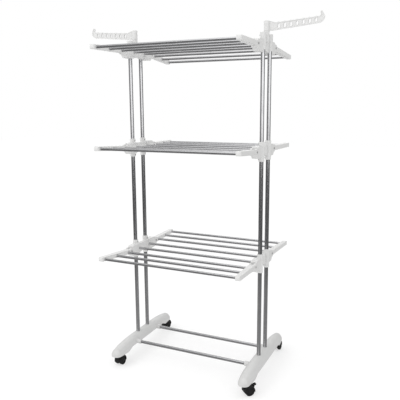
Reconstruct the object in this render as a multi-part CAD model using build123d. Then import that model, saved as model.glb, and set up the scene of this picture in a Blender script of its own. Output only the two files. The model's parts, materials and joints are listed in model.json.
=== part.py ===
from build123d import *
import math
import os

# Three-tier folding clothes drying rack on four twin-wheel casters. Millimetres.
# +X runs along the rods (left to right), -Y is the near side, +Z is up.
# The origin lies on the floor, under the centre of the rack.
# Every left/right pair is one shape and its mirror image, and so is every near/far pair.

# ---- Overall layout ----
SIDE_SPACING = 670.0            # left uprights to right uprights
UPRIGHT_SPACING = 95.0          # near upright to far upright of one side
LOWER_TIER_Z = 561.0            # rod centres of each tier above the floor
MIDDLE_TIER_Z = 1076.0
TOP_TIER_Z = 1531.0
WING_REACH = 350.0              # centre plane to the tip of a wing

# ---- Tubes and rods ----
UPRIGHT_DIAMETER = 19.0
UPRIGHT_WALL = 0.7
ROD_DIAMETER = 12.7
ROD_WALL = 0.5
CROSS_TUBE_DIAMETER = 16.0
CROSS_TUBE_WALL = 0.8
CROSS_TUBE_SPACING = 200.0      # near cross tube to far cross tube
CROSS_TUBE_Z = 76.0
TUBE_CLEARANCE = 0.1            # radial, tube in a moulded socket

# ---- Wing rods ----
FIRST_WING_ROD_Y = 151.0
WING_ROD_PITCH = 89.5
WING_RODS = 3
ROD_SOCKET_DEPTH = 14.0

# ---- Tier brackets ----
SLEEVE_DIAMETER = 27.0
SLEEVE_ABOVE = 42.0             # sleeve above and below the rods, lower two tiers
SLEEVE_BELOW = 46.0
TOP_SLEEVE_ABOVE = 54.0
TOP_SLEEVE_BELOW = 19.0
TUBE_STOP = 2.0                 # rib in a sleeve between two upright sections
SLEEVE_CAP = 4.0                # closed end of a top sleeve
BRACKET_WIDTH = 30.0            # along X, at the hinge knuckles
BRACKET_OFFSET = 9.0            # bracket plate inboard of the upright plane
WEB_WIDTH = 18.0                # along X, between the sleeves
EAR_TOP = 24.0                  # bracket top edge above the rods
HEEL_BOTTOM = 29.0              # bracket ledge below the rods
ROD_BOSS_DIAMETER = 21.0
SLEEVE_RIM = 1.5                # rounding of sleeve and boss rims
WEB_CORNER = 4.0                # rounding where the web meets the hinge ends

# ---- Wing hinges ----
HINGE_Y = 122.0
HINGE_RISE = 1.0                # hinge axis above the rod centres
PIN_DIAMETER = 5.0
PIN_HEAD_DIAMETER = 9.0
PIN_HEAD_HEIGHT = 1.2
PIN_CLEARANCE = 0.05            # radial, arm bore on its pin
PIN_SEAT_CLEARANCE = 0.02       # radial, knuckle bore on its pin
TONGUE_WIDTH = 14.0
TONGUE_SIDE_GAP = 0.25
KNUCKLE_WALL = 5.0              # knuckle radius beyond the tongue radius
SWEEP_GAP = 0.5                 # between the turning arm and the knuckle
FLOOR_GAP = 0.2                 # between the tongue and the ledge that stops it
# Degrees above level at which a wing rests. Its slot's ledge is cut at the same angle.
WING_TILT = {("top", "far"): -6.0, ("middle", "near"): 3.5, ("lower", "near"): 4.0}

# ---- Wing arms ----
ARM_ROOT_HEIGHT = 23.0
ARM_TIP_HEIGHT = 20.0
ARM_TIP_WIDTH = 24.0
ARM_SPLAY = 13.0                # how much further out the tip stands than the root
ARM_TIP_RADIUS = 8.0
ARM_EDGE_RADIUS = 3.0

# ---- Hanger arms ----
BARREL_DIAMETER = 26.0
BARREL_BOTTOM = 62.0            # above the top tier's rods
BARREL_HEIGHT = 44.0
SPIGOT_DIAMETER = 15.0
SPIGOT_LENGTH = 40.0
SPIGOT_CLEARANCE = 0.08
SWIVEL_GAP = 0.4                # under the barrel, and under the spigot
HUB_DIAMETER = 25.0
HANGER_LENGTH = 251.0           # barrel axis to the outermost point of the hook
HANGER_THICKNESS = 8.0
HANGER_ROOT_DEPTH = 34.0
HANGER_TIP_DEPTH = 27.0
HANGER_SLOPE = 5.4              # degrees, arm rising towards its hook
HOOK_RISE = 24.0                # hook tip above the arm's top edge
SLOTS = 7
FIRST_SLOT = 54.5               # barrel axis to the first slot
SLOT_PITCH = 26.7
SLOT_WIDTH = 10.0
SLOT_RIM = 6.0                  # plastic above and below a slot
SLOT_LIP = 1.2                  # raised edge round a slot
HANGER_RAIL = 2.6               # raised edge round the arm
HANGER_POCKET = 1.2             # depth of the hollows between the raised edges

# ---- Feet ----
FOOT_LENGTH = 550.0
FOOT_WIDTH = 72.0
FOOT_NOSE_WIDTH = 54.0
FOOT_CREST_SHARE = 0.42         # width of the crest, as a share of the foot's width
FOOT_TOP_Z = 106.0
FOOT_NOSE_TOP_Z = 92.0
FOOT_ARCH_Z = 71.0              # underside between the two caster pads
FOOT_PAD_Z = 56.0               # underside of the caster pads
FOOT_SIDE_HEIGHT = 20.0         # upright part of the side above the pads
FOOT_NOSE_SIDE_HEIGHT = 16.0
FOOT_WALL = 3.0
PAD_LENGTH = 84.0
PAD_SLOPE = 34.0                # underside climbs from pad to arch over this length
FOOT_FLAT = 100.0               # half-length of the level part of the crest
BOSS_WALL = 3.5
UPRIGHT_SOCKET_WEB = 4.0        # plastic under an upright
COLLAR_LENGTH = 15.0            # boss round a cross tube, standing out of the foot
CROSS_SOCKET_DEPTH = 24.0       # into the foot from its inner face

# ---- Screws ----
SCREW_SHANK = 3.0
SCREW_HEAD = 6.5
SCREW_HEAD_HEIGHT = 1.8
SCREW_CLEARANCE = 0.1
SCREW_END = 9.0                 # from a tube's end to its screw
SCREW_BITE = 2.0                # how far a screw's tip passes the tube wall

# ---- Casters ----
CASTER_Y = 240.0                # swivel axis from the centre plane
WHEEL_DIAMETER = 44.0
WHEEL_WIDTH = 13.5
WHEEL_GAP = 12.4                # between the two wheels
TRAIL = 20.0                    # swivel axis to axle
AXLE_DIAMETER = 6.0
AXLE_CLEARANCE = 0.06
AXLE_BITE = 10.5                # axle inside each wheel
YOKE_WIDTH = 11.0               # housing between the wheels
HOOD_GAP = 1.2
HOOD_WALL = 2.0
HOOD_END_ANGLE = 12.0           # hood ends this far below the axle's level
STEM_DIAMETER = 11.0
STEM_SOCKET_DEPTH = 24.0
STEM_PIN_DIAMETER = 6.0
STEM_PIN_LENGTH = 28.0
STEM_CLEARANCE = 0.06
STEM_COLLAR_DIAMETER = 19.0
STEM_COLLAR_HEIGHT = 2.5
SWIVEL_BOSS_DIAMETER = 16.0
CASTER_TURN = {"left_near": 0.0, "left_far": 0.0, "right_near": -45.0, "right_far": 0.0}

# ---- Brake levers on the two near casters ----
LEVER_ANGLE = 42.0              # hinge of the lever above the axle's level
LEVER_WIDTH = 18.0
LEVER_LENGTH = 16.0
LEVER_THICKNESS = 2.6
LEVER_HUB = 6.0
LEVER_PIN = 3.6
LEVER_CLEARANCE = 0.05
LEVER_EAR = 3.0
LEVER_RISE = 22.0               # degrees, tab above the level

# ---- Derived places ----
SIDE_X = SIDE_SPACING / 2
UPRIGHT_Y = UPRIGHT_SPACING / 2
CROSS_TUBE_Y = CROSS_TUBE_SPACING / 2
SLEEVE_RADIUS = SLEEVE_DIAMETER / 2
UPRIGHT_RADIUS = UPRIGHT_DIAMETER / 2
UPRIGHT_BORE = UPRIGHT_RADIUS + TUBE_CLEARANCE
ROD_RADIUS = ROD_DIAMETER / 2
ROD_BORE = ROD_RADIUS + TUBE_CLEARANCE
PLATE_X = SIDE_X - BRACKET_OFFSET
INNER_X = PLATE_X - BRACKET_WIDTH / 2
FIXED_ROD_END_X = INNER_X + ROD_SOCKET_DEPTH - 4
TONGUE_RADIUS = ARM_ROOT_HEIGHT / 2
KNUCKLE_RADIUS = TONGUE_RADIUS + KNUCKLE_WALL
SHOULDER_RADIUS = KNUCKLE_RADIUS + SWEEP_GAP
SLOT_END_Y = HINGE_Y - TONGUE_RADIUS - SWEEP_GAP
PIN_HALF = BRACKET_WIDTH / 2
WING_ROD_YS = [FIRST_WING_ROD_Y + WING_ROD_PITCH * i for i in range(WING_RODS)]
TIERS = {"lower": LOWER_TIER_Z, "middle": MIDDLE_TIER_Z, "top": TOP_TIER_Z}
SIDES = {"left": -1, "right": 1}
DEPTHS = {"near": -1, "far": 1}
BASE = (Align.CENTER, Align.CENTER, Align.MIN)


# ---- Helpers ----
def post(radius, height, x, y, z):
    """Upright cylinder standing on (x, y, z)."""
    return Pos(x, y, z) * Cylinder(radius, height, align=BASE)


def bar_x(radius, x_from, x_to, y, z):
    """Cylinder along X."""
    shape = Rot(0, 90, 0) * Cylinder(radius, x_to - x_from, align=BASE)
    return Pos(x_from, y, z) * shape


def block(x_range, y_range, z_range):
    """Box between three pairs of coordinates."""
    size = [high - low for low, high in (x_range, y_range, z_range)]
    middle = [(low + high) / 2 for low, high in (x_range, y_range, z_range)]
    return Pos(*middle) * Box(*size)


def place(shape, side=1, depth=1):
    """Mirror a shape made for the right far quarter into another quarter."""
    if side < 0:
        shape = mirror(shape, about=Plane.YZ)
    if depth < 0:
        shape = mirror(shape, about=Plane.XZ)
    return shape


def wing_tilt(shape, tier, depth_name, sign=1):
    """Turn a wing's piece about its hinge to the angle at which that wing rests."""
    angle = sign * WING_TILT.get((tier, depth_name), 0)
    hinge = Pos(0, sign * HINGE_Y, HINGE_RISE)
    return hinge * Rot(angle, 0, 0) * hinge.inverse() * shape


def side_plate(profile, x_from, x_to):
    """Extrude a face drawn in Y and Z from one X to another."""
    return Pos(x_from, 0, 0) * extrude(profile, amount=x_to - x_from, dir=(1, 0, 0))


def outline(corners):
    """Closed outline from (a, b, corner radius) triples."""
    face = Polygon(*[(a, b) for a, b, _ in corners], align=None)
    for a, b, radius in corners:
        if radius > 0:
            vertex = face.vertices().sort_by_distance((a, b, 0))[0]
            face = fillet(vertex, radius)
    return face


def both_ways(half):
    """Corners listed from the middle outwards, and their mirror images."""
    return half + [(-a, b, radius) for a, b, radius in reversed(half)]


def across_y(face, y_from, y_to):
    """Extrude a face drawn in X and Z from one Y to another."""
    placed = Plane.XZ * face
    return Pos(0, y_from, 0) * extrude(placed, amount=y_to - y_from, dir=(0, 1, 0))


def save(name, *solids):
    """Write one node, holding one solid or a group of separate ones."""
    shapes = [solid for item in solids for solid in item.solids()]
    node = shapes[0] if len(shapes) == 1 else Compound(children=shapes)
    export_step(node, os.path.join("parts", name + ".step"))


# ---- Uprights, rods and cross tubes ----
def upright_section(z_from, z_to):
    tube = post(UPRIGHT_RADIUS, z_to - z_from, SIDE_X, UPRIGHT_Y, z_from)
    return tube - post(UPRIGHT_RADIUS - UPRIGHT_WALL, z_to - z_from, SIDE_X, UPRIGHT_Y, z_from)


def rod(half_length, y, z):
    tube = bar_x(ROD_RADIUS, -half_length, half_length, y, z)
    return tube - bar_x(ROD_RADIUS - ROD_WALL, -half_length, half_length, y, z)


def cross_tube():
    end = cross_socket_end()
    tube = bar_x(CROSS_TUBE_DIAMETER / 2, -end, end, CROSS_TUBE_Y, CROSS_TUBE_Z)
    inside = CROSS_TUBE_DIAMETER / 2 - CROSS_TUBE_WALL
    return tube - bar_x(inside, -end, end, CROSS_TUBE_Y, CROSS_TUBE_Z)


def cross_socket_end():
    return SIDE_X - FOOT_WIDTH / 2 + CROSS_SOCKET_DEPTH


# ---- Screws, all driven along X from the inner side ----
def screw(seat_x, y, z, reach):
    """Round-headed screw: head inboard of seat_x, shank reaching outboard."""
    head = bar_x(SCREW_HEAD / 2, seat_x - SCREW_HEAD_HEIGHT, seat_x, y, z)
    head = fillet(head.edges().sort_by(Axis.X)[0], SCREW_HEAD_HEIGHT * 0.6)
    return head + bar_x(SCREW_SHANK / 2, seat_x, seat_x + reach, y, z)


def screw_hole(seat_x, y, z, reach):
    return bar_x(SCREW_SHANK / 2 + SCREW_CLEARANCE, seat_x - 1, seat_x + reach + 1, y, z)


def sleeve_screw_reach():
    return SLEEVE_RADIUS - UPRIGHT_RADIUS + UPRIGHT_WALL + SCREW_BITE


# ---- Tier brackets ----
def sleeve_span(tier):
    """Lowest and highest point of a tier's sleeves, above its rods."""
    if tier == "top":
        return -TOP_SLEEVE_BELOW, TOP_SLEEVE_ABOVE
    return -SLEEVE_BELOW, SLEEVE_ABOVE


def sleeve_screw_zs(tier):
    """Heights of the screws in one sleeve, above the tier's rods."""
    low, high = sleeve_span(tier)
    if tier == "top":
        return [high - SLEEVE_CAP - SCREW_END]
    return [low + SCREW_END, high - SCREW_END]


def bracket_profile():
    """Outline of a bracket in Y and Z, measured from the rod centres."""
    heel_y = HINGE_Y - KNUCKLE_RADIUS
    sleeve_y = UPRIGHT_Y + SLEEVE_RADIUS
    under = HINGE_RISE - KNUCKLE_RADIUS * 0.98
    top = [(0, EAR_TOP - 4, 0), (sleeve_y, EAR_TOP + 1, 30), (SLOT_END_Y - 6, EAR_TOP, 8),
           (SLOT_END_Y, EAR_TOP - 5, 2), (SLOT_END_Y, HINGE_RISE + 6, 0), (HINGE_Y, HINGE_RISE, 0)]
    bottom = [(HINGE_Y - 3, under, 0), (heel_y, -HEEL_BOTTOM, 10), (sleeve_y, -HEEL_BOTTOM - 2, 12),
              (0, -HEEL_BOTTOM + 9, 0)]
    half = top + bottom
    corners = half + [(-a, b, radius) for a, b, radius in reversed(half[1:-1])]
    face = Plane.YZ * outline(corners)
    for sign in (-1, 1):
        face += Plane.YZ * (Pos(sign * HINGE_Y, HINGE_RISE) * Circle(KNUCKLE_RADIUS))
    return face


def rounded_post(radius, height, x, y, z, rim):
    """Upright cylinder with both rims rounded."""
    shape = post(radius, height, x, y, z)
    return fillet(shape.edges().filter_by(GeomType.CIRCLE), rim)


def bracket(tier):
    """Right-hand bracket of a tier, with the rod centres at z = 0."""
    low, high = sleeve_span(tier)
    body = side_plate(bracket_profile(), INNER_X, INNER_X + BRACKET_WIDTH)
    web_inner = PLATE_X - WEB_WIDTH / 2
    web_outer = PLATE_X + WEB_WIDTH / 2
    reach_y = UPRIGHT_Y + 4
    for x_range in ((INNER_X - 30, web_inner), (web_outer, INNER_X + BRACKET_WIDTH + 30)):
        cut = block(x_range, (-reach_y, reach_y), (-HEEL_BOTTOM - 20, EAR_TOP + 20))
        body -= fillet(cut.edges().filter_by(Axis.Z), WEB_CORNER)
    for sign in (-1, 1):
        y = sign * UPRIGHT_Y
        body += rounded_post(SLEEVE_RADIUS, high - low, SIDE_X, y, low, SLEEVE_RIM)
        boss = bar_x(ROD_BOSS_DIAMETER / 2, INNER_X, SIDE_X - 2, y, 0)
        body += fillet(boss.edges().filter_by(GeomType.CIRCLE).sort_by(Axis.X)[0], SLEEVE_RIM)
    if tier == "top":
        body += post(HUB_DIAMETER / 2, BARREL_BOTTOM - SWIVEL_GAP - hub_bottom(), SIDE_X, 0, hub_bottom())
        web_height = TOP_SLEEVE_ABOVE - 4
        web_y = UPRIGHT_Y - SCREW_HEAD / 2 - 1
        body += block((web_inner + 4, web_outer), (-web_y, web_y), (0, web_height))
        body -= post(SPIGOT_DIAMETER / 2 + SPIGOT_CLEARANCE, SPIGOT_LENGTH + 2, SIDE_X, 0, spigot_bottom())
    for depth_name, sign in DEPTHS.items():
        body -= bracket_bores(tier, sign * UPRIGHT_Y)
        body -= wing_tilt(hinge_slot(sign), tier, depth_name, sign)
    return body


def hub_bottom():
    return spigot_bottom() - 4


def spigot_bottom():
    return BARREL_BOTTOM - SPIGOT_LENGTH - SWIVEL_GAP


def bracket_bores(tier, y):
    """Everything bored into one sleeve: the uprights, the fixed rod and the screws."""
    low, high = sleeve_span(tier)
    if tier == "top":
        bottom = low - HEEL_BOTTOM
        bores = post(UPRIGHT_BORE, high - SLEEVE_CAP - bottom, SIDE_X, y, bottom)
    else:
        bores = post(UPRIGHT_BORE, -TUBE_STOP / 2 - low, SIDE_X, y, low)
        bores += post(UPRIGHT_BORE, high - TUBE_STOP / 2, SIDE_X, y, TUBE_STOP / 2)
    bores += bar_x(ROD_BORE, INNER_X - 1, FIXED_ROD_END_X, y, 0)
    for z in sleeve_screw_zs(tier):
        bores += screw_hole(SIDE_X - SLEEVE_RADIUS, y, z, sleeve_screw_reach())
    return bores


def hinge_slot(sign):
    """Slot for a wing arm's tongue, closed below by the ledge that holds the wing level."""
    half = TONGUE_WIDTH / 2 + TONGUE_SIDE_GAP
    outer_y = HINGE_Y + KNUCKLE_RADIUS + 1
    y_range = (SLOT_END_Y, outer_y) if sign > 0 else (-outer_y, -SLOT_END_Y)
    floor = HINGE_RISE - TONGUE_RADIUS - FLOOR_GAP
    slot = block((PLATE_X - half, PLATE_X + half), y_range, (floor, EAR_TOP + 20))
    bore = PIN_DIAMETER / 2 + PIN_SEAT_CLEARANCE
    return slot + bar_x(bore, INNER_X - 1, INNER_X + BRACKET_WIDTH + 1, sign * HINGE_Y, HINGE_RISE)


def hinge_pin(z):
    """Riveted steel pin through one knuckle of the right far quarter."""
    pin = bar_x(PIN_DIAMETER / 2, PLATE_X - PIN_HALF, PLATE_X + PIN_HALF, HINGE_Y, z + HINGE_RISE)
    ends = ((PLATE_X - PIN_HALF - PIN_HEAD_HEIGHT, PLATE_X - PIN_HALF),
            (PLATE_X + PIN_HALF, PLATE_X + PIN_HALF + PIN_HEAD_HEIGHT))
    for x_from, x_to in ends:
        pin += bar_x(PIN_HEAD_DIAMETER / 2, x_from, x_to, HINGE_Y, z + HINGE_RISE)
    return pin


# ---- Wings ----
def arm_inner_x(y):
    """X of the arm's inner face at a given y."""
    root_y = HINGE_Y + SHOULDER_RADIUS
    share = (y - root_y) / (WING_REACH - root_y)
    root = PLATE_X - BRACKET_WIDTH / 2
    tip = PLATE_X + ARM_SPLAY - ARM_TIP_WIDTH / 2
    return root + share * (tip - root)


def rod_end_x(y):
    """End of a wing rod: it stands ROD_SOCKET_DEPTH inside the arm, where the arm is thinnest."""
    return arm_inner_x(y - ROD_RADIUS) + ROD_SOCKET_DEPTH


def arm_section(x, y, width, height):
    """Rounded cross-section of a wing arm, facing along Y."""
    plane = Plane(origin=(x, y, HINGE_RISE), x_dir=(1, 0, 0), z_dir=(0, 1, 0))
    return plane * RectangleRounded(width, height, ARM_EDGE_RADIUS)


def wing_arm():
    """Arm of the right far wing, with the rod centres at z = 0."""
    shoulder_y = HINGE_Y + SHOULDER_RADIUS
    inner_root = PLATE_X - BRACKET_WIDTH / 2
    outer_tip = PLATE_X + ARM_SPLAY + ARM_TIP_WIDTH / 2
    root = arm_section(PLATE_X, shoulder_y, BRACKET_WIDTH, ARM_ROOT_HEIGHT)
    tip = arm_section(PLATE_X + ARM_SPLAY, WING_REACH, ARM_TIP_WIDTH, ARM_TIP_HEIGHT)
    body = loft([root, tip], ruled=True)
    body += extrude(root, amount=SHOULDER_RADIUS, dir=(0, -1, 0))
    tip_plan = Pos(PLATE_X + ARM_SPLAY, 0) * RectangleRounded(
        ARM_TIP_WIDTH + 1, 2 * WING_REACH, ARM_TIP_RADIUS)
    tip_plan += Pos(PLATE_X, 0) * Rectangle(BRACKET_WIDTH * 3, 2 * (WING_REACH - ARM_TIP_RADIUS))
    body &= Pos(0, 0, -ARM_ROOT_HEIGHT) * extrude(tip_plan, amount=2 * ARM_ROOT_HEIGHT, dir=(0, 0, 1))
    tip_side = Pos(0, HINGE_RISE) * RectangleRounded(2 * WING_REACH, ARM_TIP_HEIGHT + 0.6, ARM_TIP_RADIUS)
    tip_side += Pos(0, HINGE_RISE) * Rectangle(2 * (WING_REACH - ARM_TIP_RADIUS), ARM_ROOT_HEIGHT * 2)
    body &= side_plate(Plane.YZ * tip_side, inner_root - 20, outer_tip + 20)
    body -= bar_x(SHOULDER_RADIUS, inner_root - 5, outer_tip + 5, HINGE_Y, HINGE_RISE)
    half = TONGUE_WIDTH / 2
    tongue = block((PLATE_X - half, PLATE_X + half), (HINGE_Y, shoulder_y + 4),
                   (HINGE_RISE - TONGUE_RADIUS, HINGE_RISE + TONGUE_RADIUS))
    tongue += bar_x(TONGUE_RADIUS, PLATE_X - half, PLATE_X + half, HINGE_Y, HINGE_RISE)
    body += tongue
    body -= bar_x(PIN_DIAMETER / 2 + PIN_CLEARANCE, inner_root - 5, outer_tip + 5, HINGE_Y, HINGE_RISE)
    for y in WING_ROD_YS:
        body -= bar_x(ROD_BORE, inner_root - 20, rod_end_x(y), y, 0)
    return body


# ---- Hanger arms ----
def hanger_arm():
    """Right-hand hanger arm, with its barrel on the hub of the top bracket."""
    z0 = TOP_TIER_Z + BARREL_BOTTOM
    rise = math.tan(math.radians(HANGER_SLOPE))
    half = HANGER_THICKNESS / 2
    neck = BARREL_DIAMETER / 2
    hook_x = HANGER_LENGTH
    arm_end = hook_x - 20
    bottom_root = (neck - 6, 0)
    bottom_end = (arm_end, (arm_end - neck) * rise)
    nose = (hook_x - 4, bottom_end[1] + 11)
    hook_side = (hook_x, bottom_end[1] + 25)
    hook_top = (hook_x - 13, bottom_end[1] + HANGER_TIP_DEPTH + HOOK_RISE)
    hook_inside = (hook_x - 19, bottom_end[1] + HANGER_TIP_DEPTH + HOOK_RISE - 7)
    throat = (hook_x - 16, bottom_end[1] + HANGER_TIP_DEPTH + 4)
    top_end = (hook_x - 24, bottom_end[1] + HANGER_TIP_DEPTH)
    top_root = (neck + 29, HANGER_ROOT_DEPTH)
    flare = (neck, BARREL_HEIGHT - 1)
    corners = [(*bottom_root, 0), (*bottom_end, 12), (*nose, 12), (*hook_side, 9), (*hook_top, 3.5),
               (*hook_inside, 2.5), (*throat, 5), (*top_end, 6), (*top_root, 14), (*flare, 0),
               (neck - 6, BARREL_HEIGHT - 1, 0)]
    shape = outline(corners)
    pocket = offset(shape, amount=-HANGER_RAIL)
    windows = []
    for x in slot_xs():
        crest = top_root[1] + (x - top_root[0]) * (top_end[1] - top_root[1]) / (top_end[0] - top_root[0])
        low = (x - neck) * rise + SLOT_RIM
        height = crest - SLOT_RIM - low
        shape += Pos(x, crest - 1) * Ellipse(SLOT_WIDTH * 0.62, 3)
        middle = Pos(x, low + height / 2)
        windows.append(middle * SlotOverall(height, SLOT_WIDTH, rotation=90))
        pocket -= middle * SlotOverall(height + 2 * SLOT_LIP, SLOT_WIDTH + 2 * SLOT_LIP, rotation=90)
    pocket &= Pos(neck + arm_end / 2, 0) * Rectangle(arm_end, 4 * HANGER_ROOT_DEPTH)
    body = across_y(shape, -half, half)
    body -= across_y(pocket, -half - 1, -half + HANGER_POCKET)
    body -= across_y(pocket, half - HANGER_POCKET, half + 1)
    barrel = Cylinder(BARREL_DIAMETER / 2, BARREL_HEIGHT, align=BASE)
    body += fillet(barrel.edges().filter_by(GeomType.CIRCLE), SLEEVE_RIM)
    body += post(SPIGOT_DIAMETER / 2, SPIGOT_LENGTH, 0, 0, -SPIGOT_LENGTH)
    for window in windows:
        body -= across_y(window, -HANGER_THICKNESS, HANGER_THICKNESS)
    return Pos(SIDE_X, 0, z0) * body


def slot_xs():
    return [FIRST_SLOT + SLOT_PITCH * i for i in range(SLOTS)]


# ---- Feet ----
def foot_section(half_width, side_height, top, bottom):
    """Domed cross-section of a foot in X and Z."""
    crest = half_width * FOOT_CREST_SHARE
    shoulder = FOOT_PAD_Z + side_height
    side = [(half_width, bottom, 0), (half_width, shoulder, half_width), (crest, top, crest * 1.8)]
    return outline(side + [(-x, z, radius) for x, z, radius in reversed(side)])


def foot_form(inset):
    """Outer or inner form of the right foot, inset all round by the wall."""
    nose_y = (FOOT_LENGTH - FOOT_NOSE_WIDTH) / 2
    bottom = FOOT_PAD_Z - 10
    middle = foot_section(FOOT_WIDTH / 2 - inset, FOOT_SIDE_HEIGHT, FOOT_TOP_Z - inset, bottom)
    nose = foot_section(FOOT_NOSE_WIDTH / 2 - inset, FOOT_NOSE_SIDE_HEIGHT, FOOT_NOSE_TOP_Z - inset, bottom)
    stations = [(-nose_y, nose), (-FOOT_FLAT, middle), (0, middle), (FOOT_FLAT, middle), (nose_y, nose)]
    form = loft([Pos(0, y, 0) * (Plane.XZ * section) for y, section in stations])
    half_nose = nose & Pos(FOOT_WIDTH, 0) * Rectangle(2 * FOOT_WIDTH, 4 * FOOT_TOP_Z)
    dome = revolve(Plane.XZ * half_nose, Axis.Z)
    for sign in (-1, 1):
        form += Pos(0, sign * nose_y, 0) * dome
    return Pos(SIDE_X, 0, 0) * form


def foot_underside():
    """What is cut away below a foot: all below the pads, and the arch between them."""
    pad_y = FOOT_LENGTH / 2 - PAD_LENGTH
    end_y = FOOT_LENGTH
    half = [(pad_y - PAD_SLOPE, FOOT_ARCH_Z, 0), (pad_y, FOOT_PAD_Z, 0), (end_y, FOOT_PAD_Z, 0), (end_y, 0, 0)]
    return side_plate(Plane.YZ * outline(both_ways(half)), SIDE_X - FOOT_WIDTH, SIDE_X + FOOT_WIDTH)


def foot():
    """Right foot: a shell open below, with bosses for the tubes and the caster stems."""
    outer = foot_form(0) - foot_underside()
    shell = outer - foot_form(FOOT_WALL)
    upright_boss = UPRIGHT_BORE + BOSS_WALL
    stem_boss = STEM_DIAMETER / 2 + BOSS_WALL
    cross_bore = CROSS_TUBE_DIAMETER / 2 + TUBE_CLEARANCE
    inner_face = SIDE_X - FOOT_WIDTH / 2
    outer_face = SIDE_X + FOOT_WIDTH / 2
    bosses = []
    for sign in (-1, 1):
        caster_y = sign * CASTER_Y
        bosses.append(post(upright_boss, FOOT_TOP_Z - FOOT_ARCH_Z, SIDE_X, sign * UPRIGHT_Y, FOOT_ARCH_Z))
        bosses.append(post(stem_boss, FOOT_TOP_Z - FOOT_PAD_Z, SIDE_X, caster_y, FOOT_PAD_Z))
        bosses.append(post(FOOT_WIDTH / 2, FOOT_WALL, SIDE_X, caster_y, FOOT_PAD_Z))
    for y in (-CROSS_TUBE_Y - 70, 0, CROSS_TUBE_Y + 70):
        bosses.append(block((inner_face, outer_face), (y - 1, y + 1), (FOOT_ARCH_Z, FOOT_TOP_Z)))
    body = shell
    for item in bosses:
        body += item & outer
    for sign in (-1, 1):
        y = sign * CROSS_TUBE_Y
        collar_end = inner_face - COLLAR_LENGTH
        boss = bar_x(cross_bore + BOSS_WALL, collar_end, cross_socket_end() + 3, y, CROSS_TUBE_Z)
        body += fillet(boss.edges().filter_by(GeomType.CIRCLE).sort_by(Axis.X)[0], SLEEVE_RIM)
    for sign in (-1, 1):
        body -= post(UPRIGHT_BORE, FOOT_TOP_Z, SIDE_X, sign * UPRIGHT_Y, upright_socket_floor())
        stem_bore = STEM_DIAMETER / 2 + TUBE_CLEARANCE
        body -= post(stem_bore, STEM_SOCKET_DEPTH, SIDE_X, sign * CASTER_Y, FOOT_PAD_Z)
        start = inner_face - COLLAR_LENGTH - 1
        body -= bar_x(cross_bore, start, cross_socket_end(), sign * CROSS_TUBE_Y, CROSS_TUBE_Z)
    return body


def upright_socket_floor():
    return FOOT_ARCH_Z + UPRIGHT_SOCKET_WEB


# ---- Casters, made with the swivel axis on the Z axis and the wheels towards +Y ----
AXLE_Z = WHEEL_DIAMETER / 2
HOUSING_TOP_Z = FOOT_PAD_Z - STEM_COLLAR_HEIGHT
HOOD_INSIDE = WHEEL_DIAMETER / 2 + HOOD_GAP
HOOD_OUTSIDE = HOOD_INSIDE + HOOD_WALL


def set_caster(shape, side_name, depth_name):
    """Turn a caster's piece about its swivel axis and put it under its foot."""
    turn = CASTER_TURN[side_name + "_" + depth_name]
    return Pos(SIDES[side_name] * SIDE_X, DEPTHS[depth_name] * CASTER_Y, 0) * Rot(0, 0, turn) * shape


def caster_stem():
    stem = post(STEM_DIAMETER / 2, STEM_SOCKET_DEPTH, 0, 0, FOOT_PAD_Z)
    stem = chamfer(stem.edges().sort_by(Axis.Z)[-1], 1.5)
    stem += post(STEM_COLLAR_DIAMETER / 2, STEM_COLLAR_HEIGHT, 0, 0, HOUSING_TOP_Z)
    return stem + post(STEM_PIN_DIAMETER / 2, STEM_PIN_LENGTH, 0, 0, HOUSING_TOP_Z - STEM_PIN_LENGTH)


def caster_housing(braked):
    half_yoke = YOKE_WIDTH / 2
    half_width = WHEEL_GAP / 2 + WHEEL_WIDTH
    ring = bar_x(HOOD_OUTSIDE, -half_width, half_width, TRAIL, AXLE_Z)
    ring = fillet(ring.edges().filter_by(GeomType.CIRCLE), HOOD_WALL * 0.6)
    ring -= bar_x(HOOD_INSIDE, -half_width - 1, half_width + 1, TRAIL, AXLE_Z)
    yoke = bar_x(HOOD_INSIDE + 0.5, -half_yoke, half_yoke, TRAIL, AXLE_Z)
    drop = HOOD_OUTSIDE * math.sin(math.radians(HOOD_END_ANGLE))
    keep_above = block((-60, 60), (TRAIL - 60, TRAIL + 60), (AXLE_Z - drop, AXLE_Z + 60))
    body = (ring + yoke) & keep_above
    body += bar_x(half_yoke + 4, -half_yoke, half_yoke, TRAIL, AXLE_Z)
    top = HOUSING_TOP_Z - SWIVEL_GAP
    body += post(half_yoke, top - AXLE_Z + drop, 0, 0, AXLE_Z - drop)
    neck_z = AXLE_Z + math.sqrt(HOOD_INSIDE ** 2 - (TRAIL - SWIVEL_BOSS_DIAMETER / 2) ** 2)
    body += post(SWIVEL_BOSS_DIAMETER / 2, top - neck_z, 0, 0, neck_z)
    pin_bore_z = HOUSING_TOP_Z - STEM_PIN_LENGTH - SWIVEL_GAP
    body -= post(STEM_PIN_DIAMETER / 2 + STEM_CLEARANCE, STEM_PIN_LENGTH + 10, 0, 0, pin_bore_z)
    body -= bar_x(AXLE_DIAMETER / 2 + AXLE_CLEARANCE, -60, 60, TRAIL, AXLE_Z)
    if braked:
        y, z = lever_axis()
        window = LEVER_WIDTH / 2 + 0.5
        reach = LEVER_HUB / 2 + 1
        body -= block((-window, window), (y - reach - 2, y + 9), (z - reach, z + 20))
        for sign in (-1, 1):
            x_from, x_to = sorted((sign * window, sign * (window + LEVER_EAR)))
            ear = bar_x(LEVER_HUB / 2, x_from, x_to, y, z)
            ear += block((x_from, x_to), (y - LEVER_HUB / 2, y + 1), (z - LEVER_HUB, z))
            body += ear - bar_x(HOOD_INSIDE, -60, 60, TRAIL, AXLE_Z)
        body -= bar_x(LEVER_PIN / 2 + LEVER_CLEARANCE, -60, 60, y, z)
    return body


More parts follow.
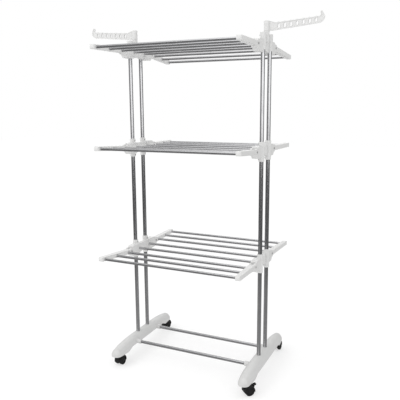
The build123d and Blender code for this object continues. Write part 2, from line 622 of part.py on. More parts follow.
def lever_axis():
    """Y and Z of the lever's hinge, on the hood's side away from the swivel."""
    radius = HOOD_OUTSIDE + LEVER_HUB / 2 - 0.5
    angle = math.radians(LEVER_ANGLE)
    return TRAIL + radius * math.cos(angle), AXLE_Z + radius * math.sin(angle)


def brake_lever():
    y, z = lever_axis()
    half = LEVER_WIDTH / 2
    pin = half + 0.5 + LEVER_EAR
    tab = block((-half, half), (0, LEVER_LENGTH), (-LEVER_THICKNESS / 2, LEVER_THICKNESS / 2))
    tab = fillet(tab.edges().filter_by(Axis.Z).sort_by(Axis.Y)[-2:], 5)
    tab = Pos(0, y, z) * (Rot(LEVER_RISE, 0, 0) * tab)
    body = tab + bar_x(LEVER_HUB / 2, -half, half, y, z)
    return body + bar_x(LEVER_PIN / 2, -pin, pin, y, z)


def caster_wheels():
    """Two wheels and the axle that turns with them."""
    solids = []
    radius = WHEEL_DIAMETER / 2
    for sign in (-1, 1):
        inner = sign * WHEEL_GAP / 2
        outer = inner + sign * WHEEL_WIDTH
        wheel = bar_x(radius, min(inner, outer), max(inner, outer), TRAIL, AXLE_Z)
        wheel = fillet(wheel.edges().filter_by(GeomType.CIRCLE), 2)
        dish_from, dish_to = sorted((outer - sign * 2.5, outer + sign))
        wheel -= bar_x(radius - 5, dish_from, dish_to, TRAIL, AXLE_Z)
        hub_from, hub_to = sorted((outer - sign * 3, outer - sign))
        wheel += bar_x(radius - 12, hub_from, hub_to, TRAIL, AXLE_Z)
        bore_from, bore_to = sorted((inner - sign, inner + sign * AXLE_BITE))
        wheel -= bar_x(AXLE_DIAMETER / 2 + PIN_SEAT_CLEARANCE, bore_from, bore_to, TRAIL, AXLE_Z)
        solids.append(wheel)
    reach = WHEEL_GAP / 2 + AXLE_BITE
    solids.append(bar_x(AXLE_DIAMETER / 2, -reach, reach, TRAIL, AXLE_Z))
    return Compound(children=[solid for item in solids for solid in item.solids()])


# ---- Writing the nodes ----
def build_uprights():
    joints = {"lower": LOWER_TIER_Z, "middle": MIDDLE_TIER_Z}
    stop = TUBE_STOP / 2
    spans = {
        "lower": (upright_socket_floor(), joints["lower"] - stop),
        "middle": (joints["lower"] + stop, joints["middle"] - stop),
        "upper": (joints["middle"] + stop, TOP_TIER_Z + TOP_SLEEVE_ABOVE - SLEEVE_CAP),
    }
    for level, (z_from, z_to) in spans.items():
        section = upright_section(z_from, z_to)
        for tier, tier_z in TIERS.items():
            for z in sleeve_screw_zs(tier):
                if z_from < tier_z + z < z_to:
                    seat = (SIDE_X - SLEEVE_RADIUS, UPRIGHT_Y, tier_z + z)
                    section -= screw_hole(*seat, sleeve_screw_reach())
        if level == "lower":
            section -= foot_screw_hole()
        for side_name, side in SIDES.items():
            for depth_name, depth in DEPTHS.items():
                save(f"{level}_upright_{side_name}_{depth_name}", place(section, side, depth))


def foot_screw_place():
    seat_x = SIDE_X - UPRIGHT_BORE - BOSS_WALL
    return seat_x, UPRIGHT_Y, upright_socket_floor() + SCREW_END


def foot_screw_hole():
    seat_x, y, z = foot_screw_place()
    return screw_hole(seat_x, y, z, BOSS_WALL + UPRIGHT_WALL + SCREW_BITE)


def all_quarters(shape):
    return [place(shape, side, depth) for side in SIDES.values() for depth in DEPTHS.values()]


def main():
    os.makedirs("parts", exist_ok=True)
    build_uprights()

    right_foot = foot()
    for sign in (-1, 1):
        right_foot -= place(foot_screw_hole(), 1, sign)
    for name, side in SIDES.items():
        save(f"foot_{name}", place(right_foot, side))
    tube = cross_tube()
    for name, depth in DEPTHS.items():
        save(f"cross_tube_{name}", place(tube, 1, depth))
    seat_x, y, z = foot_screw_place()
    foot_screw = screw(seat_x, y, z, BOSS_WALL + UPRIGHT_WALL + SCREW_BITE)
    save("foot_screws", *all_quarters(foot_screw))

    pins = []
    screws = []
    level_arm = wing_arm()
    level_rods = [rod(rod_end_x(y), y, 0) for y in WING_ROD_YS]
    for tier, tier_z in TIERS.items():
        right_bracket = Pos(0, 0, tier_z) * bracket(tier)
        for name, side in SIDES.items():
            save(f"{tier}_bracket_{name}", place(right_bracket, side))
        fixed_rod = rod(FIXED_ROD_END_X, UPRIGHT_Y, tier_z)
        save(f"centre_rods_{tier}", *[place(fixed_rod, 1, depth) for depth in DEPTHS.values()])
        pins += all_quarters(hinge_pin(tier_z))
        for screw_z in sleeve_screw_zs(tier):
            one = screw(SIDE_X - SLEEVE_RADIUS, UPRIGHT_Y, tier_z + screw_z, sleeve_screw_reach())
            screws += all_quarters(one)
        for depth_name, depth in DEPTHS.items():
            lift = Pos(0, 0, tier_z)
            arm = lift * wing_tilt(level_arm, tier, depth_name)
            rods = [lift * wing_tilt(one, tier, depth_name) for one in level_rods]
            save(f"wing_rods_{tier}_{depth_name}", *[place(one, 1, depth) for one in rods])
            for side_name, side in SIDES.items():
                save(f"wing_arm_{tier}_{depth_name}_{side_name}", place(arm, side, depth))
    save("hinge_pins", *pins)
    save("bracket_screws", *screws)

    hanger = hanger_arm()
    for name, side in SIDES.items():
        save(f"hanger_arm_{name}", place(hanger, side))

    corners = [(side, depth) for side in SIDES for depth in DEPTHS]
    save("caster_stems", *[set_caster(caster_stem(), *corner) for corner in corners])
    for side_name, depth_name in corners:
        where = side_name + "_" + depth_name
        braked = depth_name == "near"
        save("caster_housing_" + where, set_caster(caster_housing(braked), side_name, depth_name))
        save("caster_wheels_" + where, set_caster(caster_wheels(), side_name, depth_name))
        if braked:
            save("brake_lever_" + side_name, set_caster(brake_lever(), side_name, depth_name))


main()
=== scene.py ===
import json
import math

import bmesh
import bpy
from mathutils import Matrix, Vector


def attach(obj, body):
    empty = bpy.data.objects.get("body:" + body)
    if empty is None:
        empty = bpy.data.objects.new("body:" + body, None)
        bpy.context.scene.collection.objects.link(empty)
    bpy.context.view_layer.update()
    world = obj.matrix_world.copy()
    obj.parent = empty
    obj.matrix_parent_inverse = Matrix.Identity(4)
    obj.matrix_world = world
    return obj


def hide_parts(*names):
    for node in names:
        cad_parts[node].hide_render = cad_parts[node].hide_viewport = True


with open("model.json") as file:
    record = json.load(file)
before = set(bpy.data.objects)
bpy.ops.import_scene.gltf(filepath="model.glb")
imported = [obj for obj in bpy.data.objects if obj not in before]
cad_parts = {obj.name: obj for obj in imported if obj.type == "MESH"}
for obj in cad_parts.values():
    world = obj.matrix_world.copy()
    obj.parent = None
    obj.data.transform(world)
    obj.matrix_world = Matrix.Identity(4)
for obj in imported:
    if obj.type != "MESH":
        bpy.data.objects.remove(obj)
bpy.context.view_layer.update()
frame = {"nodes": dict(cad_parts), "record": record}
NODES = frame["nodes"]
MM = 0.001

# ---------------------------------------------------------------- shader groups

NOISE_MIDDLE = (0.3, 0.7)       # the part of a noise's range that nearly all of it lies in
DRIFT_SCALE = 9.0               # slow colour drift, per metre
SCUFF_SCALE = 70.0
SCUFF_ROUGHNESS = 0.12
GRAIN_ROUGHNESS = 0.08
SMUDGE_SCALE = 22.0
SMUDGE_COLOUR = 0.3
SMUDGE_ROUGHNESS = 0.05
STREAK_COLOUR = 0.25
STREAK_ROUGHNESS = 0.02
LINES_ACROSS = 700.0            # drawn lines on the tubes, per metre
LINES_ALONG = 6.0


def new_group(name, inputs, outputs):
    """An empty node group with its sockets, and its input and output nodes."""
    group = bpy.data.node_groups.new(name, "ShaderNodeTree")
    for label, kind, value in inputs:
        socket = group.interface.new_socket(label, in_out="INPUT", socket_type=kind)
        if value is not None:
            socket.default_value = value
    for label, kind in outputs:
        group.interface.new_socket(label, in_out="OUTPUT", socket_type=kind)
    return group, group.nodes.new("NodeGroupInput"), group.nodes.new("NodeGroupOutput")


def noise(tree, vector, scale, detail=3.0, roughness=0.5):
    node = tree.nodes.new("ShaderNodeTexNoise")
    node.inputs["Scale"].default_value = scale
    node.inputs["Detail"].default_value = detail
    node.inputs["Roughness"].default_value = roughness
    tree.links.new(vector, node.inputs["Vector"])
    return node.outputs["Fac"]


def spread(tree, value, low, high):
    """Stretch the middle of a noise to the range from low to high."""
    node = tree.nodes.new("ShaderNodeMapRange")
    node.inputs["From Min"].default_value, node.inputs["From Max"].default_value = NOISE_MIDDLE
    tree.links.new(value, node.inputs["Value"])
    for label, end in (("To Min", low), ("To Max", high)):
        if hasattr(end, "is_linked"):
            tree.links.new(end, node.inputs[label])
        else:
            node.inputs[label].default_value = end
    return node.outputs["Result"]


def math_node(tree, operation, first, second):
    node = tree.nodes.new("ShaderNodeMath")
    node.operation = operation
    for socket, value in zip(node.inputs, (first, second)):
        if hasattr(value, "is_linked"):
            tree.links.new(value, socket)
        else:
            socket.default_value = value
    return node.outputs["Value"]


def mix_colour(tree, share, first, second):
    node = tree.nodes.new("ShaderNodeMix")
    node.data_type = "RGBA"
    tree.links.new(share, node.inputs["Factor"])
    for socket, value in ((node.inputs[6], first), (node.inputs[7], second)):
        if hasattr(value, "is_linked"):
            tree.links.new(value, socket)
        else:
            socket.default_value = value
    return node.outputs[2]


SKIN_OUTPUTS = [("Colour", "NodeSocketColor"),
                ("Roughness", "NodeSocketFloat"),
                ("Height", "NodeSocketFloat")]


def moulded_skin_group():
    """Moulded plastic: slow colour drift, fine grain, scuffs and the height they make."""
    group, given, made = new_group(
        "moulded skin",
        [("Colour", "NodeSocketColor", (0.8, 0.8, 0.8, 1)),
         ("Worn Colour", "NodeSocketColor", (0.7, 0.7, 0.7, 1)),
         ("Roughness", "NodeSocketFloat", 0.35),
         ("Grain Size", "NodeSocketFloat", 900.0),
         ("Wear", "NodeSocketFloat", 0.2)],
        SKIN_OUTPUTS)
    place = group.nodes.new("ShaderNodeTexCoord").outputs["Object"]
    drift = spread(group, noise(group, place, DRIFT_SCALE, 2.0), 0.0, 1.0)
    scuff = spread(group, noise(group, place, SCUFF_SCALE, 6.0, 0.7), 0.0, 1.0)
    grain_node = group.nodes.new("ShaderNodeTexNoise")
    grain_node.inputs["Detail"].default_value = 2.0
    group.links.new(place, grain_node.inputs["Vector"])
    group.links.new(given.outputs["Grain Size"], grain_node.inputs["Scale"])
    grain = grain_node.outputs["Fac"]
    patches = math_node(group, "MULTIPLY", drift, scuff)
    worn = math_node(group, "MULTIPLY", patches, given.outputs["Wear"])
    colour = mix_colour(group, worn, given.outputs["Colour"], given.outputs["Worn Colour"])
    group.links.new(colour, made.inputs["Colour"])
    lift = math_node(group, "MULTIPLY", scuff, SCUFF_ROUGHNESS)
    fine = math_node(group, "MULTIPLY", grain, GRAIN_ROUGHNESS)
    rough = math_node(group, "ADD", given.outputs["Roughness"], math_node(group, "ADD", lift, fine))
    group.links.new(rough, made.inputs["Roughness"])
    group.links.new(grain, made.inputs["Height"])
    return group


def drawn_metal_group():
    """Drawn steel tube: fine lines along its length, faint smudges and their roughness."""
    group, given, made = new_group(
        "drawn metal",
        [("Vector", "NodeSocketVector", None),
         ("Colour", "NodeSocketColor", (0.6, 0.6, 0.6, 1)),
         ("Dull Colour", "NodeSocketColor", (0.4, 0.4, 0.4, 1)),
         ("Roughness", "NodeSocketFloat", 0.2)],
        SKIN_OUTPUTS)
    lines = noise(group, given.outputs["Vector"], 1.0, 3.0, 0.6)
    place = group.nodes.new("ShaderNodeTexCoord").outputs["Object"]
    smudge = spread(group, noise(group, place, SMUDGE_SCALE, 4.0, 0.6), 0.0, 1.0)
    streak = spread(group, lines, 0.0, 1.0)
    share = math_node(group, "ADD", math_node(group, "MULTIPLY", streak, STREAK_COLOUR),
                      math_node(group, "MULTIPLY", smudge, SMUDGE_COLOUR))
    colour = mix_colour(group, share, given.outputs["Colour"], given.outputs["Dull Colour"])
    group.links.new(colour, made.inputs["Colour"])
    uneven = math_node(group, "ADD", math_node(group, "MULTIPLY", streak, STREAK_ROUGHNESS),
                       math_node(group, "MULTIPLY", smudge, SMUDGE_ROUGHNESS))
    rough = math_node(group, "ADD", given.outputs["Roughness"], uneven)
    group.links.new(rough, made.inputs["Roughness"])
    group.links.new(lines, made.inputs["Height"])
    return group


MOULDED = moulded_skin_group()
DRAWN = drawn_metal_group()

# ---------------------------------------------------------------- materials

GRAIN_DEPTH = 0.0002            # metres
LINE_DEPTH = 0.00003
LINE_STRENGTH = 0.01
CHROME = (0.55, 0.55, 0.56)
DULL_CHROME = (0.36, 0.36, 0.37)


def blank_material(name):
    material = bpy.data.materials.new(name)
    material.use_nodes = True
    tree = material.node_tree
    return material, tree, tree.nodes["Principled BSDF"]


def bump(tree, shader, height, strength, distance):
    node = tree.nodes.new("ShaderNodeBump")
    node.inputs["Strength"].default_value = strength
    node.inputs["Distance"].default_value = distance
    tree.links.new(height, node.inputs["Height"])
    tree.links.new(node.outputs["Normal"], shader.inputs["Normal"])


def plastic(name, colour, worn, roughness, wear, grain=900.0, strength=0.12, specular=0.5):
    """Moulded plastic with its own colour, shine, wear and size of grain."""
    material, tree, shader = blank_material(name)
    skin = tree.nodes.new("ShaderNodeGroup")
    skin.node_tree = MOULDED
    skin.inputs["Colour"].default_value = (*colour, 1)
    skin.inputs["Worn Colour"].default_value = (*worn, 1)
    skin.inputs["Roughness"].default_value = roughness
    skin.inputs["Grain Size"].default_value = grain
    skin.inputs["Wear"].default_value = wear
    tree.links.new(skin.outputs["Colour"], shader.inputs["Base Color"])
    tree.links.new(skin.outputs["Roughness"], shader.inputs["Roughness"])
    bump(tree, shader, skin.outputs["Height"], strength, GRAIN_DEPTH)
    shader.inputs["Specular IOR Level"].default_value = specular
    material.diffuse_color = (*colour, 1)
    return material


def steel(name, along, colour, dull, roughness):
    """Steel tube whose drawn lines run along one axis, 0 for X and 2 for Z."""
    material, tree, shader = blank_material(name)
    place = tree.nodes.new("ShaderNodeTexCoord")
    mapping = tree.nodes.new("ShaderNodeMapping")
    scale = [LINES_ACROSS] * 3
    scale[along] = LINES_ALONG
    mapping.inputs["Scale"].default_value = scale
    tree.links.new(place.outputs["Object"], mapping.inputs["Vector"])
    skin = tree.nodes.new("ShaderNodeGroup")
    skin.node_tree = DRAWN
    skin.inputs["Colour"].default_value = (*colour, 1)
    skin.inputs["Dull Colour"].default_value = (*dull, 1)
    skin.inputs["Roughness"].default_value = roughness
    tree.links.new(mapping.outputs["Vector"], skin.inputs["Vector"])
    tree.links.new(skin.outputs["Colour"], shader.inputs["Base Color"])
    tree.links.new(skin.outputs["Roughness"], shader.inputs["Roughness"])
    bump(tree, shader, skin.outputs["Height"], LINE_STRENGTH, LINE_DEPTH)
    shader.inputs["Metallic"].default_value = 1.0
    material.diffuse_color = (*colour, 1)
    return material


WHITE = plastic("white moulded plastic", (0.69, 0.69, 0.685), (0.58, 0.58, 0.57), 0.28, 0.25)
# Foot plastic: a darker copy of the white plastic; its lower base colour is painted shade
SHADED_FOOT_WHITE = plastic("white foot plastic with painted shade", (0.62, 0.62, 0.615), (0.52, 0.52, 0.51), 0.34, 0.3)
BLACK = plastic("black caster plastic", (0.008, 0.008, 0.009), (0.03, 0.03, 0.03), 0.42, 0.5,
                specular=0.3)
TREAD = plastic("black wheel tread", (0.011, 0.011, 0.012), (0.045, 0.043, 0.04), 0.55, 0.7,
                grain=500.0, strength=0.3, specular=0.3)
UPRIGHT_STEEL = steel("upright steel", 2, CHROME, DULL_CHROME, 0.16)
ROD_STEEL = steel("rod steel", 0, CHROME, DULL_CHROME, 0.16)
SCREW_STEEL = steel("screw steel", 0, (0.5, 0.5, 0.5), (0.3, 0.3, 0.3), 0.28)


def paint(node, material):
    """Give a CAD node its material."""
    slots = node.material_slots
    if not slots:
        node.data.materials.append(material)
    for slot in slots:
        slot.material = material


for name, node in NODES.items():
    if "upright" in name:
        paint(node, UPRIGHT_STEEL)
    elif "rods" in name or "cross_tube" in name:
        paint(node, ROD_STEEL)
    elif "screws" in name or "pins" in name or "stems" in name:
        paint(node, SCREW_STEEL)
    elif "caster" in name or "brake" in name:
        paint(node, BLACK)
    elif "foot" in name:
        paint(node, SHADED_FOOT_WHITE)
    else:
        paint(node, WHITE)

# ---------------------------------------------------------------- moulded wheels and screws

WHEEL_STEPS = 72
# Half of a wheel's section, from its bore over the two treads to the middle of its cap: (x, radius) in mm.
WHEEL_SECTION = [(6.2, 3.1), (6.2, 19.6), (6.9, 21.3), (8.1, 22.0), (12.1, 22.0), (12.4, 21.3), (13.5, 21.3),
                 (13.8, 22.0), (17.8, 22.0), (18.9, 21.5), (19.6, 20.3), (19.7, 18.6), (19.1, 17.6),
                 (17.3, 17.2), (17.0, 10.6), (17.6, 9.9), (18.7, 9.4), (19.2, 8.4), (19.3, 5.2),
                 (18.8, 4.7), (18.8, 0.0)]
AXLE_SECTION = [(-6.6, 0.0), (-6.6, 3.0), (6.6, 3.0), (6.6, 0.0)]
TREAD_RADIUS = 20.5
SPOKES = 6
SPOKE_SIZE = (1.6, 1.9, 7.4)
SPOKE_PLACE = (17.9, 0.0, 13.8)
SPOKE_EDGE = 5.0                # only a spoke's long edges are longer than this
SPOKE_ROUNDING = 0.5
WELD = 0.00002                  # metres
SCREW_WELD = 0.00001
CAD_WELD = 0.000005
SHARP_ANGLE = math.radians(35)


def spun(bm, section, steps):
    """Turn a section of (x, radius) points in mm about the X axis."""
    line = [bm.verts.new((x * MM, 0, radius * MM)) for x, radius in section]
    edges = [bm.edges.new(pair) for pair in zip(line, line[1:])]
    bmesh.ops.spin(bm, geom=line + edges, cent=(0, 0, 0), axis=(1, 0, 0), angle=math.tau,
                   steps=steps, use_merge=True)


def finished_piece(bm, name, materials, body, nodes):
    """Close a bmesh, turn its faces outwards and make it a piece riding on a body."""
    bmesh.ops.remove_doubles(bm, verts=bm.verts, dist=WELD)
    bmesh.ops.recalc_face_normals(bm, faces=bm.faces)
    mesh = bpy.data.meshes.new(name)
    bm.to_mesh(mesh)
    bm.free()
    for material in materials:
        mesh.materials.append(material)
    mesh.shade_smooth()
    mesh.set_sharp_from_angle(angle=SHARP_ANGLE)
    piece = bpy.data.objects.new(name, mesh)
    bpy.context.scene.collection.objects.link(piece)
    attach(piece, body)
    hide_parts(*nodes)


def wheel_half(bm):
    """One wheel on the +X side: tread with a groove, dished face, hub cap and spokes."""
    spun(bm, WHEEL_SECTION, WHEEL_STEPS)
    for face in bm.faces:
        if all(math.hypot(v.co.y, v.co.z) > TREAD_RADIUS * MM for v in face.verts):
            face.material_index = 1
    for i in range(SPOKES):
        spoke = bmesh.ops.create_cube(bm, size=1.0)["verts"]
        bmesh.ops.scale(bm, verts=spoke, vec=[v * MM for v in SPOKE_SIZE])
        edges = list({edge for v in spoke for edge in v.link_edges if edge.calc_length() > SPOKE_EDGE * MM})
        bevelled = bmesh.ops.bevel(bm, geom=edges, offset=SPOKE_ROUNDING * MM, offset_type="OFFSET",
                                   segments=2, profile=0.5, affect="EDGES", material=-1)
        spoke = list({v for v in spoke if v.is_valid} | set(bevelled["verts"]))
        bmesh.ops.translate(bm, verts=spoke, vec=[v * MM for v in SPOKE_PLACE])
        bmesh.ops.rotate(bm, verts=spoke, cent=(0, 0, 0),
                         matrix=Matrix.Rotation(math.tau * i / SPOKES, 3, "X"))


def make_wheels(joint):
    """The pair of wheels and the axle that turn on one caster."""
    body = joint["child"]
    where = body.removeprefix("wheels_")
    bm = bmesh.new()
    wheel_half(bm)
    copy = bmesh.ops.duplicate(bm, geom=bm.verts[:] + bm.edges[:] + bm.faces[:])
    turned = [item for item in copy["geom"] if isinstance(item, bmesh.types.BMVert)]
    bmesh.ops.rotate(bm, verts=turned, cent=(0, 0, 0), matrix=Matrix.Rotation(math.pi, 3, "Z"))
    spun(bm, AXLE_SECTION, WHEEL_STEPS // 3)
    axis = Vector(joint["axis"])
    yaw = Matrix.Rotation(math.atan2(axis.y, axis.x), 3, "Z")
    bmesh.ops.rotate(bm, verts=bm.verts, cent=(0, 0, 0), matrix=yaw)
    bmesh.ops.translate(bm, verts=bm.verts, vec=joint["pos_m"])
    finished_piece(bm, f"moulded_wheels_{where}", [BLACK, TREAD], body, [f"caster_wheels_{where}"])


def loose_parts(node):
    """Lowest and highest corners of each separate solid in a CAD node."""
    bm = bmesh.new()
    bm.from_mesh(node.data)
    bmesh.ops.remove_doubles(bm, verts=bm.verts, dist=CAD_WELD)
    left = set(bm.verts)
    boxes = []
    while left:
        first = left.pop()
        solid = {first}
        ends = [first]
        while ends:
            vert = ends.pop()
            for edge in vert.link_edges:
                other = edge.other_vert(vert)
                if other not in solid:
                    solid.add(other)
                    ends.append(other)
        left -= solid
        boxes.append([tuple(end(v.co[i] for v in solid) for i in range(3)) for end in (min, max)])
    bm.free()
    return sorted(boxes)


# Screw sizes in mm: the head as (x, radius) from its rim to its recess, then the recess and the shank.
HEAD_SECTION = [(1.8, 3.25), (0.9, 3.25), (0.35, 2.9), (0.1, 2.4), (0.0, 1.9)]
RECESS_ARM = 1.45
RECESS_HALF = 0.32
RECESS_DEPTH = 1.1
RECESS_TAPER = 0.6
HEAD_HEIGHT, HEAD_RADIUS = HEAD_SECTION[0]
SHANK_RADIUS = 1.5
SCREW_STEPS = 24
SCREW_TURN_Y, SCREW_TURN_Z = 37, 53     # radians per metre, so that no two recesses stand alike


def cross_outline():
    """Twelve corners of a cross, in order."""
    a, h = RECESS_ARM, RECESS_HALF
    quarter = [(a, -h), (a, h), (h, h)]
    corners = []
    for i in range(4):
        c, n = round(math.cos(math.pi / 2 * i)), round(math.sin(math.pi / 2 * i))
        corners += [(y * c - z * n, y * n + z * c) for y, z in quarter]
    return corners


def edges_between(items, verts):
    """The edges among some items that have both ends among some vertices."""
    return [e for e in items if isinstance(e, bmesh.types.BMEdge) and all(v in verts for v in e.verts)]


def screw_with_recess(bm, length):
    """Round-headed screw along +X with its head's face at x = 0 and a cross recess."""
    spun(bm, HEAD_SECTION, SCREW_STEPS)
    bmesh.ops.remove_doubles(bm, verts=bm.verts, dist=SCREW_WELD)
    rim = [e for e in bm.edges if all(abs(v.co.x) < 0.01 * MM for v in e.verts)]
    cross = [bm.verts.new((0, y * MM, z * MM)) for y, z in cross_outline()]
    loop = [bm.edges.new((cross[i], cross[(i + 1) % len(cross)])) for i in range(len(cross))]
    bmesh.ops.bridge_loops(bm, edges=rim + loop)
    walls = bmesh.ops.extrude_edge_only(bm, edges=loop)["geom"]
    floor = [item for item in walls if isinstance(item, bmesh.types.BMVert)]
    bmesh.ops.translate(bm, verts=floor, vec=(RECESS_DEPTH * MM, 0, 0))
    bmesh.ops.scale(bm, verts=floor, vec=(1, RECESS_TAPER, RECESS_TAPER))
    bmesh.ops.contextual_create(bm, geom=edges_between(walls, floor))
    behind = (HEAD_HEIGHT - 0.1) * MM
    back = [e for e in bm.edges if e.is_boundary and all(v.co.x > behind for v in e.verts)]
    step = bmesh.ops.extrude_edge_only(bm, edges=back)["geom"]
    ring = [item for item in step if isinstance(item, bmesh.types.BMVert)]
    share = SHANK_RADIUS / HEAD_RADIUS
    bmesh.ops.scale(bm, verts=ring, vec=(1, share, share))
    root = edges_between(step, ring)
    end = bmesh.ops.extrude_edge_only(bm, edges=root)["geom"]
    tip = [item for item in end if isinstance(item, bmesh.types.BMVert)]
    bmesh.ops.translate(bm, verts=tip, vec=(length - HEAD_HEIGHT * MM, 0, 0))
    bmesh.ops.contextual_create(bm, geom=edges_between(end, tip))


def make_screws(node_name):
    """Screws with cross recesses in place of a node's plain ones, heads towards the middle."""
    bm = bmesh.new()
    for low, high in loose_parts(NODES[node_name]):
        one = bmesh.new()
        screw_with_recess(one, high[0] - low[0])
        centre_y, centre_z = (low[1] + high[1]) / 2, (low[2] + high[2]) / 2
        driven_to = Matrix.Rotation(centre_y * SCREW_TURN_Y + centre_z * SCREW_TURN_Z, 3, "X")
        bmesh.ops.rotate(one, verts=one.verts, cent=(0, 0, 0), matrix=driven_to)
        start = low[0]
        if start < 0:
            half_turn = Matrix.Rotation(math.pi, 3, "Z")
            bmesh.ops.rotate(one, verts=one.verts, cent=(0, 0, 0), matrix=half_turn)
            start = high[0]
        bmesh.ops.translate(one, verts=one.verts, vec=(start, centre_y, centre_z))
        part = bpy.data.meshes.new("screw")
        one.to_mesh(part)
        one.free()
        bm.from_mesh(part)
        bpy.data.meshes.remove(part)
    finished_piece(bm, f"recessed_{node_name}", [SCREW_STEEL], "frame", [node_name])


for joint in frame["record"]["behaviour"]["joints"]:
    if joint["name"].startswith("wheels_"):
        make_wheels(joint)
for node_name in ("bracket_screws", "foot_screws"):
    make_screws(node_name)

# ---------------------------------------------------------------- floor, light and camera

FLOOR_HALF_WIDTH = 14.0         # metres
SENSOR_WIDTH = 36.0             # mm
CAMERA_LENS = 47.53
CAMERA_PLACE = (1.081, -2.289, 1.284)
CAMERA_ANGLES = (-25.086, -10.296, -0.393)      # yaw, pitch and roll in degrees


def glowing_floor():
    """Pale floor lit partly from behind, as a light table is, so that shadows stay faint."""
    material, _, shader = blank_material("studio floor")
    shader.inputs["Base Color"].default_value = (0.46, 0.46, 0.46, 1)
    shader.inputs["Roughness"].default_value = 0.9
    shader.inputs["Specular IOR Level"].default_value = 0.0
    shader.inputs["Emission Color"].default_value = (1, 1, 1, 1)
    shader.inputs["Emission Strength"].default_value = 0.55
    return material


def make_floor():
    """A wide, level, pale floor."""
    bm = bmesh.new()
    bmesh.ops.create_grid(bm, x_segments=1, y_segments=1, size=FLOOR_HALF_WIDTH)
    mesh = bpy.data.meshes.new("studio_floor")
    bm.to_mesh(mesh)
    bm.free()
    floor = bpy.data.objects.new("studio_floor", mesh)
    bpy.context.scene.collection.objects.link(floor)
    mesh.materials.append(glowing_floor())


def area_light(name, place, aim, size, power):
    data = bpy.data.lights.new(name, "AREA")
    data.shape = "RECTANGLE"
    data.size, data.size_y = size
    data.energy = power
    light = bpy.data.objects.new(name, data)
    light.location = place
    light.rotation_euler = (Vector(aim) - Vector(place)).to_track_quat("-Z", "Y").to_euler()
    bpy.context.scene.collection.objects.link(light)


def make_world(strength):
    world = bpy.data.worlds.new("studio")
    bpy.context.scene.world = world
    world.use_nodes = True
    background = world.node_tree.nodes["Background"]
    background.inputs["Color"].default_value = (1, 1, 1, 1)
    background.inputs["Strength"].default_value = strength


def make_camera():
    """Standing height at the right-hand near side, looking slightly down and to the left."""
    data = bpy.data.cameras.new("camera")
    data.sensor_width = SENSOR_WIDTH
    data.lens = CAMERA_LENS
    camera = bpy.data.objects.new("camera", data)
    camera.location = CAMERA_PLACE
    yaw, pitch, roll = (math.radians(angle) for angle in CAMERA_ANGLES)
    look = Vector((math.cos(pitch) * math.sin(yaw), math.cos(pitch) * math.cos(yaw), math.sin(pitch)))
    turn = look.to_track_quat("-Z", "Y").to_matrix()
    camera.rotation_euler = (turn @ Matrix.Rotation(roll, 3, "Z")).to_euler()
    bpy.context.scene.collection.objects.link(camera)
    bpy.context.scene.camera = camera


# The round room that the polished tubes mirror, in metres.
RING_RADIUS = 3.2
RING_BOTTOM = 0.002
RING_TOP = 2.7
DOME_TOP = 4.6
DOME_PROFILE = [(0, RING_BOTTOM), (RING_RADIUS, RING_BOTTOM), (RING_RADIUS, RING_TOP), (2.4, 4.0), (1.2, 4.5),
                (0, DOME_TOP)]
ROOM_STEPS = 64
HORIZON = 0.81                  # below this the walls are as dark as the floor
BRIGHT_PANEL = (0.65, -0.76)    # direction of the brightest part of the walls
ROOM_GLOW = 1.7


def ramp(tree, value, stops):
    """A grey ramp through (position, grey) stops."""
    node = tree.nodes.new("ShaderNodeValToRGB")
    elements = node.color_ramp.elements
    while len(elements) < len(stops):
        elements.new(0.5)
    for element, (position, grey) in zip(elements, stops):
        element.position = position
        element.color = (grey, grey, grey, 1)
    tree.links.new(value, node.inputs["Fac"])
    return node.outputs["Color"]


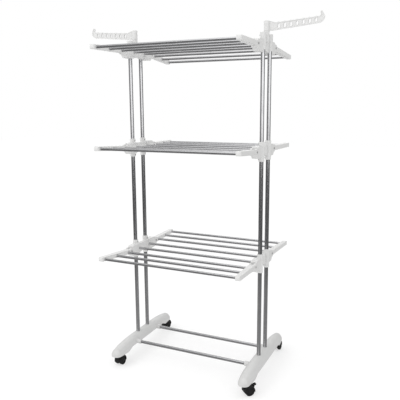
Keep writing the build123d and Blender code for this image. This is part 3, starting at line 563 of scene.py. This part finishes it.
def surroundings_material():
    """A dark floor, walls bright at two opposite ends, and a ceiling that brightens to the right."""
    material, tree, shader = blank_material("studio surroundings")
    tree.nodes.remove(shader)
    place = tree.nodes.new("ShaderNodeTexCoord").outputs["Object"]
    axes = tree.nodes.new("ShaderNodeSeparateXYZ")
    tree.links.new(place, axes.inputs["Vector"])
    x, y, z = (axes.outputs[axis] for axis in "XYZ")
    facing = math_node(tree, "ADD", math_node(tree, "MULTIPLY", x, BRIGHT_PANEL[0] / RING_RADIUS),
                       math_node(tree, "MULTIPLY", y, BRIGHT_PANEL[1] / RING_RADIUS))
    around = math_node(tree, "ADD", math_node(tree, "MULTIPLY", facing, 0.5), 0.5)
    upper = ramp(tree, around, [(0.0, 0.8), (0.08, 0.7), (0.15, 0.20), (0.78, 0.16), (0.87, 1.0), (1.0, 1.0)])
    squares = math_node(tree, "ADD", math_node(tree, "MULTIPLY", x, x), math_node(tree, "MULTIPLY", y, y))
    across = math_node(tree, "MULTIPLY", math_node(tree, "POWER", squares, 0.5), 1 / RING_RADIUS)
    lower = ramp(tree, across, [(0.0, 0.24), (0.30, 0.20), (0.60, 0.12), (0.85, 0.08), (1.0, 0.08)])
    along = math_node(tree, "ADD", math_node(tree, "MULTIPLY", x, 0.5 / RING_RADIUS), 0.5)
    ceiling = ramp(tree, along, [(0.0, 0.26), (0.14, 0.28), (0.38, 0.95), (0.7, 1.0), (1.0, 0.7)])
    height = math_node(tree, "MULTIPLY", z, 1 / DOME_TOP)
    level = HORIZON / DOME_TOP
    above = ramp(tree, height, [(0.0, 0.0), (level - 0.01, 0.0), (level + 0.02, 1.0), (1.0, 1.0)])
    eaves = RING_TOP / DOME_TOP
    roof = ramp(tree, height, [(0.0, 0.0), (eaves - 0.05, 0.0), (eaves + 0.05, 1.0), (1.0, 1.0)])
    walls = mix_colour(tree, above, lower, upper)
    glow = tree.nodes.new("ShaderNodeEmission")
    tree.links.new(mix_colour(tree, roof, walls, ceiling), glow.inputs["Color"])
    glow.inputs["Strength"].default_value = ROOM_GLOW
    tree.links.new(glow.outputs["Emission"], tree.nodes["Material Output"].inputs["Surface"])
    return material


def make_surroundings():
    """A round room with a low dome that only mirror-like surfaces see."""
    bm = bmesh.new()
    line = [bm.verts.new((x, 0, z)) for x, z in DOME_PROFILE]
    edges = [bm.edges.new(pair) for pair in zip(line, line[1:])]
    bmesh.ops.spin(bm, geom=line + edges, cent=(0, 0, 0), axis=(0, 0, 1), angle=math.tau,
                   steps=ROOM_STEPS, use_merge=True)
    mesh = bpy.data.meshes.new("studio_surroundings")
    bm.to_mesh(mesh)
    bm.free()
    room = bpy.data.objects.new("studio_surroundings", mesh)
    bpy.context.scene.collection.objects.link(room)
    mesh.materials.append(surroundings_material())
    room.visible_camera = False
    room.visible_diffuse = False
    room.visible_shadow = False
    room.visible_transmission = False


make_floor()
make_world(1.0)
make_surroundings()
area_light("key", (-2.2, -2.6, 3.4), (0, 0, 0.9), (2.4, 2.4), 40)
make_camera()
bpy.context.scene.view_settings.view_transform = "Standard"
